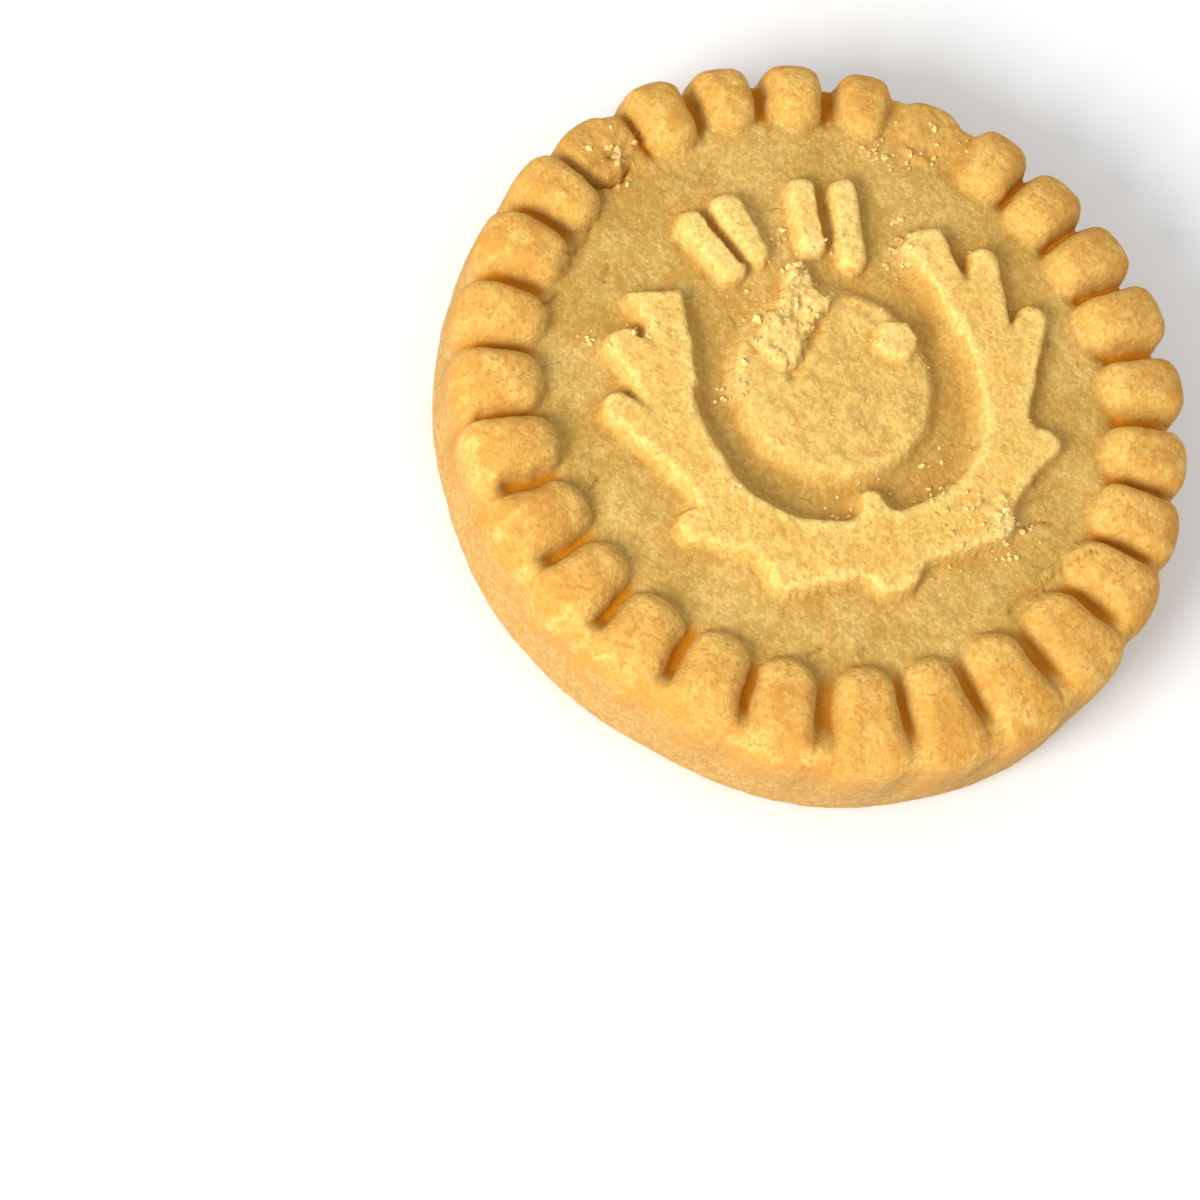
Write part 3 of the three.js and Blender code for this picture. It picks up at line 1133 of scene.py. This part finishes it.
class Nodes:
    """A short way to write one node tree."""

    def __init__(self, tree: bpy.types.NodeTree) -> None:
        """Keeps the tree to write in.

        Args:
            tree: The node tree.
        """
        self.tree = tree

    def add(self, kind: str, **settings: object) -> bpy.types.Node:
        """Adds a node.

        Args:
            kind: The node's type.
            **settings: Its properties.

        Returns:
            The node.
        """
        node = self.tree.nodes.new(kind)
        for name, value in settings.items():
            setattr(node, name, value)
        return node

    def put(self, node: bpy.types.Node, **values: Value) -> bpy.types.Node:
        """Links or sets a node's named inputs.

        Args:
            node: The node.
            **values: An output socket, a number or a colour for each input, with _ for a space in its name.

        Returns:
            The node.
        """
        for name, value in values.items():
            self.fill(node.inputs[name.replace("_", " ")], value)
        return node

    def fill(self, socket: bpy.types.NodeSocket, value: Value) -> None:
        """Links a socket to another, or sets it.

        Args:
            socket: The input socket.
            value: An output socket, a number or a colour.
        """
        if isinstance(value, bpy.types.NodeSocket):
            self.tree.links.new(value, socket)
        else:
            socket.default_value = value

    def sum(self, how: Sum, first: Value, second: Value, clamp: bool = False) -> bpy.types.NodeSocket:
        """Adds a sum of two numbers.

        Args:
            how: The kind of sum.
            first: The first number or socket.
            second: The second number or socket.
            clamp: Whether the result is kept between 0 and 1.

        Returns:
            The result's socket.
        """
        node = self.add("ShaderNodeMath", operation=how.value, use_clamp=clamp)
        self.fill(node.inputs[0], first)
        self.fill(node.inputs[1], second)
        return node.outputs[0]

    def times(self, first: Value, second: Value, clamp: bool = False) -> bpy.types.NodeSocket:
        """Multiplies two numbers."""
        return self.sum(Sum.TIMES, first, second, clamp)

    def larger(self, first: Value, second: Value) -> bpy.types.NodeSocket:
        """Gives the larger of two numbers."""
        return self.sum(Sum.LARGER, first, second)

    def span(self, value: Value, low: float, high: float, first: float = 0.0, last: float = 1.0) -> Value:
        """Maps a range of numbers smoothly onto another.

        Args:
            value: The number or socket to map.
            low: The range's start.
            high: The range's end.
            first: The result at low.
            last: The result at high.

        Returns:
            The result's socket.
        """
        node = self.add("ShaderNodeMapRange", interpolation_type="SMOOTHSTEP", clamp=True)
        for socket, item in zip(node.inputs, (value, low, high, first, last)):
            self.fill(socket, item)
        return node.outputs[0]

    def mix(self, share: Value, first: Value, second: Value, how: Blend = Blend.COVER) -> Value:
        """Mixes two colours.

        Args:
            share: How much of the second shows.
            first: The first colour or socket.
            second: The second colour or socket.
            how: The way of mixing.

        Returns:
            The mixed colour's socket.
        """
        node = self.add("ShaderNodeMix", data_type="RGBA", blend_type=how.value, clamp_result=False)
        self.fill(node.inputs[0], share)
        self.fill(node.inputs[6], first)
        self.fill(node.inputs[7], second)
        return node.outputs[2]

    def coats(self, colour: Value, *coats: tuple[Value, Value]) -> Value:
        """Lays coats of colour one over another.

        Args:
            colour: The colour below them.
            *coats: How much of each coat shows, and its colour.

        Returns:
            The coated colour's socket.
        """
        for share, coat in coats:
            colour = self.mix(share, colour, coat)
        return colour

    def place(self) -> bpy.types.NodeSocket:
        """Reads the place on the piece, in metres."""
        return self.add("ShaderNodeTexCoord").outputs["Object"]

    def noise(self, place: Value, scale: Value, detail: float = 3.0, rough: float = 0.55) -> Value:
        """Adds a noise pattern.

        Args:
            place: The socket with the coordinates.
            scale: Hills for each metre.
            detail: How many finer layers it has.
            rough: How strong they are.

        Returns:
            The pattern's socket.
        """
        node = self.add("ShaderNodeTexNoise")
        return self.put(node, Vector=place, Scale=scale, Detail=detail, Roughness=rough).outputs["Fac"]

    def mask(self, name: str, share: float = 1.0) -> bpy.types.NodeSocket:
        """Reads a share of one of the skin's masks by its name."""
        whole = self.add("ShaderNodeAttribute", attribute_name=name).outputs["Fac"]
        return whole if share == 1.0 else self.times(whole, share)


class SandyGrain:
    """The shared grain of baked dough: sugar and flour grains, pores and flecks."""

    NAME = "sandy_grain"
    NUMBER = "NodeSocketFloat"
    INPUTS = {"Grain Size": 0.0006, "Pores": 0.5}
    PORES_PER_METRE = 900.0
    CLOUDS_PER_METRE = 160.0
    DRIED_PER_METRE = 260.0
    WEB_PER_METRE = 230.0
    BENDS_PER_METRE = 420.0
    BEND = (0.0022, 0.0022, 0.0022)

    @classmethod
    def tree(cls) -> bpy.types.NodeTree:
        """Gives the group, and builds it when it is first asked for.

        Returns:
            The group. Its outputs are Relief, a height for bump; Fleck, pale grains; Pore, pinholes, for bump
            and painted shade; Cloud, slow changes of colour; Mottle, fine speckling; and Hairline, thin
            cracks for painted shade.
        """
        if cls.NAME in bpy.data.node_groups:
            return bpy.data.node_groups[cls.NAME]
        group = bpy.data.node_groups.new(cls.NAME, "ShaderNodeTree")
        for label, usual in cls.INPUTS.items():
            group.interface.new_socket(label, in_out="INPUT", socket_type=cls.NUMBER).default_value = usual
        nodes = Nodes(group)
        given = nodes.add("NodeGroupInput").outputs
        made = cls.patterns(nodes, given["Grain Size"], given["Pores"])
        for label in made:
            group.interface.new_socket(label, in_out="OUTPUT", socket_type=cls.NUMBER)
        nodes.put(nodes.add("NodeGroupOutput"), **made)
        return group

    @classmethod
    def patterns(cls, nodes: Nodes, grain_size: Value, pores: Value) -> dict[str, Value]:
        """Writes the group's patterns.

        Args:
            nodes: The group's tree.
            grain_size: How large a grain is, in metres.
            pores: How clear the pinholes are.

        Returns:
            Each output's pattern.
        """
        place = nodes.place()
        scale = nodes.sum(Sum.OVER, 1.0, grain_size)
        coarse = nodes.noise(place, nodes.times(scale, 0.55), 4.0, 0.6)
        finer = nodes.noise(place, nodes.times(scale, 2.4), 2.0, 0.6)
        cell = nodes.put(nodes.add("ShaderNodeTexVoronoi", feature="F1"), Vector=place, Scale=scale).outputs
        lot = nodes.span(cell["Color"], 0.2, 0.8)
        top = nodes.times(nodes.span(cell["Distance"], 0.75, 0.1), lot)
        few = nodes.span(nodes.noise(place, cls.PORES_PER_METRE, 2.0), 0.6, 0.7)
        pore = nodes.times(nodes.times(nodes.span(cell["Distance"], 0.22, 0.08), few), pores, True)
        relief = nodes.sum(Sum.PLUS, nodes.times(coarse, 0.55), nodes.times(top, 0.2))
        relief = nodes.sum(Sum.PLUS, relief, nodes.times(finer, 0.25))
        relief = nodes.sum(Sum.LESS, relief, nodes.times(pore, 0.6))

        # A few hairline cracks, where the crust dried first.
        bend = nodes.put(nodes.add("ShaderNodeTexNoise"), Vector=place, Scale=cls.BENDS_PER_METRE)
        moved = nodes.add("ShaderNodeVectorMath", operation="MULTIPLY_ADD")
        for socket, value in zip(moved.inputs, (bend.outputs["Color"], cls.BEND, place)):
            nodes.fill(socket, value)
        web = nodes.add("ShaderNodeTexVoronoi", feature="DISTANCE_TO_EDGE")
        nodes.put(web, Vector=moved.outputs[0], Scale=cls.WEB_PER_METRE)
        dried = nodes.span(nodes.noise(place, cls.DRIED_PER_METRE, 3.0), 0.55, 0.64)

        speckle = nodes.sum(Sum.PLUS, nodes.times(lot, 0.3), nodes.times(coarse, 0.45))
        speckle = nodes.sum(Sum.PLUS, speckle, nodes.times(finer, 0.25))
        return {
            "Relief": relief,
            "Fleck": nodes.span(nodes.times(lot, nodes.span(cell["Distance"], 0.5, 0.3)), 0.72, 0.86),
            "Pore": pore,
            "Cloud": nodes.noise(place, cls.CLOUDS_PER_METRE, 4.0, 0.6),
            "Mottle": nodes.span(speckle, 0.34, 0.66),
            "Hairline": nodes.times(nodes.span(web.outputs["Distance"], 0.026, 0.006), dried),
        }


class Finish:
    """A material in the making: its nodes, its shader and the place on the piece."""

    def __init__(self, name: str) -> None:
        """Makes an empty material.

        Args:
            name: The material's name.
        """
        self.material = bpy.data.materials.new(name)
        self.material.use_nodes = True
        self.nodes = Nodes(self.material.node_tree)
        self.shader = self.material.node_tree.nodes["Principled BSDF"]
        self.place = self.nodes.place()

    def grain(self, size: float, pores: float, depth: float, specular: float) -> Outputs:
        """Places the shared grain, with its relief as the material's bump.

        Args:
            size: How large a grain is, in metres.
            pores: How clear the pinholes are.
            depth: How deep the relief is, in metres.
            specular: How much the dry grains shine.

        Returns:
            The grain's outputs.
        """
        nodes = self.nodes
        grain = nodes.add("ShaderNodeGroup", node_tree=SandyGrain.tree())
        nodes.put(grain, Grain_Size=size, Pores=pores)
        bump = nodes.put(nodes.add("ShaderNodeBump"), Distance=depth, Height=grain.outputs["Relief"])
        nodes.put(self.shader, Normal=bump.outputs["Normal"], Specular_IOR_Level=specular)
        return grain.outputs


@dataclass(frozen=True)
class CrustColours:
    """The colours of baked butter dough, as linear light, with painted shade and a painted highlight among
    them.
    """

    field_pale: Colour = (0.695, 0.472, 0.138, 1)
    field_deep: Colour = (0.530, 0.326, 0.072, 1)
    dun: Colour = (0.600, 0.370, 0.090, 1)
    # Painted shade in the sunk trough round the head.
    sunk: Colour = (0.540, 0.315, 0.070, 1)
    raised: Colour = (0.810, 0.510, 0.130, 1)
    pale: Colour = (0.860, 0.590, 0.185, 1)
    # Painted highlight on edges of the picture that stand out.
    bright: Colour = (0.890, 0.620, 0.190, 1)
    golden: Colour = (0.740, 0.415, 0.085, 1)
    lobe: Colour = (0.755, 0.450, 0.108, 1)
    wall: Colour = (0.530, 0.322, 0.100, 1)
    toasted: Colour = (0.580, 0.262, 0.044, 1)
    # Painted shade: amber in seams, deeper amber in the deepest hollows and pinholes, dark brown in cracks.
    seam: Colour = (0.525, 0.240, 0.030, 1)
    depth: Colour = (0.540, 0.195, 0.005, 1)
    crack: Colour = (0.300, 0.165, 0.035, 1)
    crumb: Colour = (0.870, 0.630, 0.250, 1)
    darker: Colour = (0.885, 0.860, 0.760, 1)
    paler: Colour = (1.060, 1.075, 1.180, 1)


@dataclass(frozen=True)
class CrustFinish:
    """The dry matt crust: pale sandy field, golden lobes that toast towards the rim, painted shade in the
    seams.
    """

    colours: CrustColours = CrustColours()
    grain_size: float = 0.00032
    pores: float = 0.8
    roughness: float = 0.72
    specular: float = 0.12
    bump: float = 0.00013
    patches_per_metre: float = 330.0
    freckles_per_metre: float = 1900.0
    slow_per_metre: float = 75.0

    def make(self) -> bpy.types.Material:
        """Builds the material.

        Returns:
            The material.
        """
        finish = Finish("baked_crust")
        nodes, place = finish.nodes, finish.place
        grain = finish.grain(self.grain_size, self.pores, self.bump, self.specular)
        patch = nodes.noise(place, self.patches_per_metre, 4.0, 0.62)
        freckle = nodes.noise(place, self.freckles_per_metre, 3.0, 0.6)
        slow = nodes.span(nodes.noise(place, self.slow_per_metre, 3.0), 0.4, 0.6)
        colour = self.dough(nodes, grain, patch, slow)
        # Browning, then painted shade in seams, hollows, pinholes and cracks.
        colour = nodes.coats(colour, *self.browning(nodes, patch, freckle), *self.seams(nodes, grain))
        dry = nodes.span(patch, 0.3, 0.7, self.roughness - 0.08, self.roughness + 0.1)
        nodes.put(finish.shader, Base_Color=colour, Roughness=dry)
        return finish.material

    def dough(self, nodes: Nodes, grain: Outputs, patch: Value, slow: Value) -> Value:
        """Colours the dough by where it lies: field, picture, lobes and wall.

        Args:
            nodes: The material's tree.
            grain: The shared grain's outputs.
            patch: A patchy pattern.
            slow: A slow pattern.

        Returns:
            The colour before browning.
        """
        colours, raised = self.colours, nodes.mask("raised")
        # Broad tops brown a little in patches; edges that stand out get a painted highlight, paler and
        # yellower.
        tops = nodes.times(nodes.span(patch, 0.5, 0.66), raised)
        highlit_edges = nodes.times(nodes.span(nodes.mask("hollow_broad"), -0.04, -0.3), raised)
        colour = nodes.coats(
            nodes.mix(nodes.span(grain["Cloud"], 0.4, 0.62), colours.field_deep, colours.field_pale),
            (nodes.times(slow, 0.35), colours.dun),
            # Painted shade: the sunk trough round the head is coloured darker.
            (nodes.mask("sunk", 0.65), colours.sunk),
            (raised, colours.raised),
            (nodes.mask("pale", 0.85), colours.pale),
            (nodes.mask("rim"), colours.lobe),
            (nodes.mask("wall"), colours.wall),
            (nodes.times(tops, 0.4), colours.golden),
            # Painted highlight: edges that stand out are coloured paler and yellower.
            (nodes.times(highlit_edges, 0.8), colours.bright),
            (nodes.times(grain["Fleck"], 0.13), colours.crumb),
            (nodes.mask("broken", 0.3), colours.crumb),
        )
        darker = nodes.mix(1.0, colour, colours.darker, Blend.TINT)
        paler = nodes.mix(1.0, colour, colours.paler, Blend.TINT)
        return nodes.mix(grain["Mottle"], darker, paler)

    def browning(self, nodes: Nodes, patch: Value, freckle: Value) -> list[tuple[Value, Colour]]:
        """Mixes the oven's browning, in mottled caps with darker freckles.

        Args:
            nodes: The material's tree.
            patch: A patchy pattern.
            freckle: A fine pattern.

        Returns:
            The coats of browning.
        """
        caps, spots = nodes.span(patch, 0.3, 0.7, 0.35, 0.9), nodes.span(freckle, 0.48, 0.7, 0.0, 0.5)
        toast = nodes.times(nodes.mask("toast"), nodes.sum(Sum.PLUS, caps, spots), True)
        toast = nodes.times(nodes.larger(toast, nodes.mask("rubbed", 0.5)), 0.85)
        browner = nodes.span(nodes.mask("rim"), 0.0, 1.0, 0.5, 0.85)
        speck = nodes.times(nodes.span(freckle, 0.54, 0.66), browner)
        return [(share, self.colours.toasted) for share in (toast, speck)]

    def seams(self, nodes: Nodes, grain: Outputs) -> list[tuple[Value, Colour]]:
        """Mixes painted shade: deeper amber in seams, grooves, slits, pinholes and the wreath's foot, dark
        brown in cracks.

        Args:
            nodes: The material's tree.
            grain: The shared grain's outputs.

        Returns:
            The coats of painted shade.
        """
        colours, hollow = self.colours, nodes.mask("hollow_broad")
        # Painted shade where the skin lies below its surroundings, strongest between lobes and faint on the
        # wall, and in slits, cracks and the crevice.
        sharp = nodes.times(nodes.span(nodes.mask("hollow_fine"), 0.02, 0.16), 0.45)
        seam = nodes.larger(nodes.times(nodes.span(hollow, -0.05, 0.4), 0.95), sharp)
        edge = nodes.span(nodes.mask("gap"), 0.0, 1.0, 0.2, 1.0)
        edge = nodes.times(edge, nodes.span(nodes.mask("wall"), 0.4, 1.0, 1.0, 0.25))
        seam = nodes.larger(nodes.times(seam, edge), nodes.mask("slit"))
        bare = nodes.sum(Sum.LESS, 1.0, nodes.larger(nodes.mask("raised"), nodes.mask("rim")), True)
        # Coats of painted shade: amber in seams and along the wreath's foot, deeper amber in the deepest
        # hollows and pinholes, dark brown in hairline cracks.
        return [
            (nodes.larger(seam, nodes.mask("foot", 0.4)), colours.seam),
            (nodes.times(nodes.span(hollow, 0.15, 0.6), edge), colours.depth),
            (nodes.times(grain["Pore"], 0.35), colours.depth),
            (nodes.times(nodes.times(grain["Hairline"], bare), 0.45), colours.crack),
        ]


@dataclass(frozen=True)
class CrumbFinish:
    """The pale dry flesh of loose crumbs."""

    pale: Colour = (0.890, 0.680, 0.290, 1)
    golden: Colour = (0.790, 0.520, 0.160, 1)
    grain_size: float = 0.00035
    pores: float = 0.2
    specular: float = 0.12
    bump: float = 0.00008
    patches_per_metre: float = 700.0

    def make(self) -> bpy.types.Material:
        """Builds the material.

        Returns:
            The material.
        """
        finish = Finish("crumb_flesh")
        nodes = finish.nodes
        grain = finish.grain(self.grain_size, self.pores, self.bump, self.specular)
        share = nodes.span(nodes.noise(finish.place, self.patches_per_metre, 2.0), 0.4, 0.6)
        dry = nodes.span(grain["Cloud"], 0.3, 0.7, 0.7, 0.85)
        nodes.put(finish.shader, Base_Color=nodes.mix(share, self.golden, self.pale), Roughness=dry)
        return finish.material


@dataclass(frozen=True)
class FloorFinish:
    """A plain pale floor with the faintest unevenness."""

    darker: Colour = (0.90, 0.90, 0.90, 1)
    lighter: Colour = (0.93, 0.93, 0.93, 1)
    clouds_per_metre: float = 9.0

    def make(self) -> bpy.types.Material:
        """Builds the material.

        Returns:
            The material.
        """
        finish = Finish("pale_floor")
        nodes = finish.nodes
        cloud = nodes.noise(finish.place, self.clouds_per_metre, 2.0)
        dry = nodes.span(cloud, 0.3, 0.7, 0.8, 0.9)
        nodes.put(finish.shader, Base_Color=nodes.mix(cloud, self.darker, self.lighter), Roughness=dry)
        return finish.material


# --- The studio ---


@dataclass
class Studio:
    """The floor, the soft lights and the camera.

    The camera's place, lens and sensor and the biscuit's middle are in millimetres, other lengths in metres.
    """

    middle: Place
    camera_place: tuple[float, float, float] = (-135.1, -100.0, 291.6)
    camera_right: tuple[float, float, float] = (0.9105, -0.3193, 0.2627)
    camera_up: tuple[float, float, float] = (0.2114, 0.9055, 0.3680)
    lens: float = 130.7
    sensor: float = 36.0
    nearest: float = 0.01
    floor_half: float = 3.0
    floor_gap: float = 0.00002
    key_from: float = 199.0
    key_height: float = 32.0
    key_away: float = 0.7
    key_size: float = 0.3
    key_power: float = 5.2
    key_colour: tuple[float, float, float] = (1.0, 0.98, 0.95)
    sky: float = 0.71

    def floor(self) -> bpy.types.Object:
        """Lays the floor.

        Returns:
            The floor's object.
        """
        half = self.floor_half / MM
        corners = np.array([(-half, -half, 0), (half, -half, 0), (half, half, 0), (-half, half, 0)])
        floor = new_piece("floor", corners, [(0, 1, 2, 3)])
        floor.data.materials.append(FloorFinish().make())
        floor.location.z = CAD_BOX[0][2] - self.floor_gap
        return floor

    def lights(self) -> None:
        """Hangs one large soft light to the left and fills the rest evenly."""
        turn, rise = math.radians(self.key_from), math.radians(self.key_height)
        flat = math.cos(rise)
        toward_key = Vector((math.cos(turn) * flat, math.sin(turn) * flat, math.sin(rise)))
        lamp = bpy.data.lights.new("key", "AREA")
        lamp.shape = "DISK"
        lamp.size = self.key_size
        lamp.energy = self.key_power
        lamp.color = self.key_colour
        key = bpy.data.objects.new("key", lamp)
        key.location = toward_key * self.key_away
        key.rotation_euler = toward_key.to_track_quat("Z", "Y").to_euler()
        bpy.context.scene.collection.objects.link(key)
        world = bpy.data.worlds.new("studio")
        world.use_nodes = True
        back = world.node_tree.nodes["Background"]
        back.inputs["Color"].default_value = (1.0, 1.0, 1.0, 1)
        back.inputs["Strength"].default_value = self.sky
        bpy.context.scene.world = world

    def camera(self) -> None:
        """Stands the camera at the near left, looking steeply down."""
        data = bpy.data.cameras.new("camera")
        data.lens = self.lens
        data.sensor_width = self.sensor
        data.clip_start = self.nearest
        camera = bpy.data.objects.new("camera", data)
        right = Vector(self.camera_right).normalized()
        up = Vector(self.camera_up)
        up = (up - right * up.dot(right)).normalized()
        turn = Matrix((right, up, right.cross(up))).transposed().to_4x4()
        place = Vector(self.camera_place) - Vector((*self.middle, 0.0))
        camera.matrix_world = Matrix.Translation(place * MM) @ turn
        bpy.context.scene.collection.objects.link(camera)
        bpy.context.scene.camera = camera

    def set_up(self) -> None:
        """Sets the whole studio up."""
        scene = bpy.context.scene
        scene.view_settings.view_transform = "Standard"
        scene.view_settings.look = "None"
        self.floor()
        self.lights()
        self.camera()


def main() -> None:
    """Builds every piece, dresses it and reports it."""
    logging.basicConfig(level=logging.INFO, format="%(name)s: %(message)s")
    biscuit = Biscuit()
    skin = biscuit.build()
    skin.data.materials.append(CrustFinish().make())
    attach(skin, BODY)
    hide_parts(NODE)
    LOG.info("biscuit skin: %d faces", len(skin.data.polygons))

    Studio(biscuit.middle).set_up()
    LOG.info("studio ready")

    crumbs = Crumbs().build(biscuit.top, biscuit.middle)
    crumbs.data.materials.append(CrumbFinish().make())
    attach(crumbs, BODY)
    LOG.info("crumbs: %d faces", len(crumbs.data.polygons))


if __name__ == "__main__":
    main()
